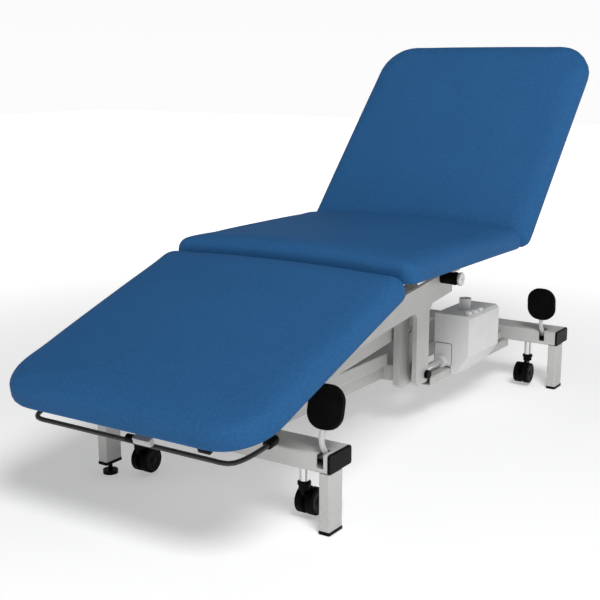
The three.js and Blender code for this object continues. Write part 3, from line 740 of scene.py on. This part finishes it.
class EXAMTABLE_OT_castor_fittings(bpy.types.Operator):
    """Collars and hub caps of the castors"""
    bl_idname = "exam_table.castor_fittings"
    bl_label = "Castor fittings"

    def execute(self, context):
        black = finish_named("black_plastic")
        for end in ("front", "rear"):
            for name, _ in SIDES:
                low, high = (Vector(p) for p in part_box(f"castor_stem_{end}_{name}"))
                x, y = (low.x + high.x) / 2, (low.y + high.y) / 2
                collar = turned(((0.0125, 0.0), (0.0142, 0.0015), (0.0142, 0.007), (0.0115, 0.0095),
                                 (0.0101, 0.0095)))
                at = Matrix.Translation((x, y, low.z - 0.001))
                body = f"castor_yoke_{end}_{name}"
                fitting(f"castor_collar_{end}_{name}", collar, at, black, body)
                self.hub_caps(end, name, black)
        return {"FINISHED"}

    @staticmethod
    def hub_caps(end, name, material):
        body = f"castor_wheel_{end}_{name}"
        low, high = (Vector(p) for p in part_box(body))
        centre = (low + high) / 2
        for label, side, face in (("inner", -1, low.y), ("outer", 1, high.y)):
            cap = turned(((0.0235, -0.001), (0.0235, 0.0004), (0.0215, 0.0012), (0.0195, 0.0006),
                          (0.009, 0.001), (0.0075, 0.0022), (0.002, 0.0026)))
            at = along((0, side, 0), (centre.x, face, centre.z))
            fitting(f"hub_cap_{end}_{name}_{label}", cap, at, material, body)


class EXAMTABLE_OT_lift_fittings(bpy.types.Operator):
    """Roller disc and caps of the section hinges"""
    bl_idname = "exam_table.lift_fittings"
    bl_label = "Lift fittings"

    def execute(self, context):
        low, high = (Vector(p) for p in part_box("rest_roller"))
        centre = (low + high) / 2
        disc = turned(((0.016, -0.001), (0.0172, 0.0), (0.0172, 0.0045), (0.0158, 0.006),
                       (0.0035, 0.0064), (0.003, 0.005)))
        at = along((0, -1, 0), (centre.x, low.y, centre.z))
        fitting("roller_disc", disc, at, finish_named("zinc"), "rest_roller")
        self.section_pins()
        return {"FINISHED"}

    @staticmethod
    def section_pins():
        zinc = finish_named("zinc")
        cap = turned(((0.0068, -0.0005), (0.0105, -0.0005), (0.0105, 0.0008), (0.0075, 0.0014),
                      (0.002, 0.0022)))
        for label, x in (("leg", LEG_HINGE_X), ("back", BACK_HINGE_X)):
            for name, side in SIDES:
                at = along((0, side, 0), (x, side * HINGE_CAP_Y, HINGE_Z))
                fitting(f"{label}_hinge_cap_{name}", cap, at, zinc, "upper_frame")


class EXAMTABLE_OT_leg_fittings(bpy.types.Operator):
    """Ferrules of the release bar, latch and corner clip under the leg section"""
    bl_idname = "exam_table.leg_fittings"
    bl_label = "Leg section fittings"

    def execute(self, context):
        turn = hinge_turn(LEG_HINGE_X, LEG_ANGLE)
        black = finish_named("black_plastic")
        for name, side in SIDES:
            start = Vector((LEG_HINGE_X - 0.516, side * 0.2625, HINGE_Z - 0.0398))
            axis = Vector((-1.0, 0.02 * side, 0.2)).normalized()
            sleeve = turned(((0.0052, -0.012), (0.0092, -0.0115), (0.0104, -0.009), (0.0104, 0.014),
                             (0.0092, 0.017), (0.0052, 0.0175)))
            at = turn @ along(axis, start)
            fitting(f"release_ferrule_{name}", sleeve, at, black, "release_bar")
        self.latch(turn, black)
        return {"FINISHED"}

    @staticmethod
    def latch(turn, black):
        """Plate, barrel and knob of the latch, and the clip by the foot end's corner."""
        body = "leg_section"
        steel = finish_named("grey_steel")
        plate = rounded_slab(0.026, 0.021, 0.004,
                             ((0.001, 0.0), (0.0, 0.001), (0.0, 0.003), (0.001, 0.004)))
        at = turn @ Matrix.Translation((LEG_HINGE_X - 0.623, -0.064, HINGE_Z + 0.0078))
        fitting("latch_plate", plate, at, steel, body)
        centre = (LEG_HINGE_X - 0.638, -0.056, HINGE_Z + 0.001)
        barrel = turned(((0.0065, -0.026), (0.008, -0.024), (0.008, 0.014), (0.0065, 0.014)))
        at = turn @ along((0.0, 1.0, 0.0), centre)
        fitting("latch_barrel", barrel, at, steel, body)
        knob = turned(((0.0074, 0.0135), (0.0082, 0.0155), (0.0082, 0.034), (0.006, 0.036)), 28)
        fitting("latch_knob", knob, at, black, body)
        clip = rounded_slab(0.005, 0.014, 0.002, ((0.001, 0.0), (0.0, 0.001), (0.0, 0.0075)))
        at = turn @ Matrix.Translation((LEG_HINGE_X - 0.643, -0.215, HINGE_Z + 0.0145))
        fitting("edge_clip", clip, at, black, body)


class EXAMTABLE_OT_housing_fittings(bpy.types.Operator):
    """Boss plate with its seam, rod guide ring and socket caps of the actuator housing"""
    bl_idname = "exam_table.housing_fittings"
    bl_label = "Housing fittings"

    def execute(self, context):
        grey = finish_named("grey_plastic")
        body = "actuator_housing"
        plate = rounded_slab(0.024, 0.03, 0.006,
                             ((0.0008, -0.0005), (0.0, 0.0004), (0.0, 0.0018), (0.0008, 0.0026)))
        face = Matrix.Rotation(-math.pi / 2, 4, "Y") @ Matrix.Rotation(math.pi / 2, 4, "Z")
        at = Matrix.Translation((HOUSING_FRONT_X, -0.128, 0.158)) @ face
        fitting("boss_plate", plate, at, grey, body)
        seam = rounded_slab(0.0254, 0.0314, 0.007, ((0.0, -0.0005), (0.0, 0.0005)))
        fitting("boss_seam", seam, at, finish_named("black_plastic"), body)
        nut = turned(((0.0112, -0.001), (0.0175, -0.001), (0.0175, 0.006), (0.016, 0.0075),
                      (0.0112, 0.0075)))
        at = along((-1, 0, 0), (HOUSING_FRONT_X - 0.0065, -0.125, 0.139))
        fitting("rod_guide_ring", nut, at, grey, body)
        for i, (sx, sy) in enumerate(((0.888, -0.182), (0.915, -0.186), (0.948, -0.186))):
            ring = turned(((0.0068, 0.0), (0.0105, 0.0), (0.0105, 0.006), (0.0092, 0.0085),
                           (0.0045, 0.0088)), 28)
            at = Matrix.Translation((sx - ORIGIN_X, sy, SOCKET_Z))
            fitting(f"socket_ring_{i + 1}", ring, at, grey, body)
        return {"FINISHED"}


OPERATORS = (
    EXAMTABLE_OT_stage,
    EXAMTABLE_OT_steelwork,
    EXAMTABLE_OT_cushions,
    EXAMTABLE_OT_base_fittings,
    EXAMTABLE_OT_castor_fittings,
    EXAMTABLE_OT_lift_fittings,
    EXAMTABLE_OT_leg_fittings,
    EXAMTABLE_OT_housing_fittings,
)


class EXAMTABLE_PT_panel(bpy.types.Panel):
    """Settings and pieces of the exam table"""
    bl_label = "Exam Table"
    bl_idname = "EXAMTABLE_PT_panel"
    bl_space_type = "VIEW_3D"
    bl_region_type = "UI"
    bl_category = "Exam Table"

    def draw(self, context):
        table = context.scene.exam_table
        for group in (table.sizes, table.colours):
            box = self.layout.box()
            for name in group.__annotations__:
                box.prop(group, name)
        for operator in OPERATORS:
            self.layout.operator(operator.bl_idname)


CLASSES = (TableSizes, TableColours, ExamTableSettings) + OPERATORS + (EXAMTABLE_PT_panel,)


def register():
    for cls in CLASSES:
        bpy.utils.register_class(cls)
    bpy.types.Scene.exam_table = PointerProperty(type=ExamTableSettings)


def unregister():
    del bpy.types.Scene.exam_table
    for cls in reversed(CLASSES):
        bpy.utils.unregister_class(cls)


def main():
    register()
    for operator in OPERATORS:
        group, name = operator.bl_idname.split(".")
        getattr(getattr(bpy.ops, group), name)()


if __name__ == "__main__":
    main()
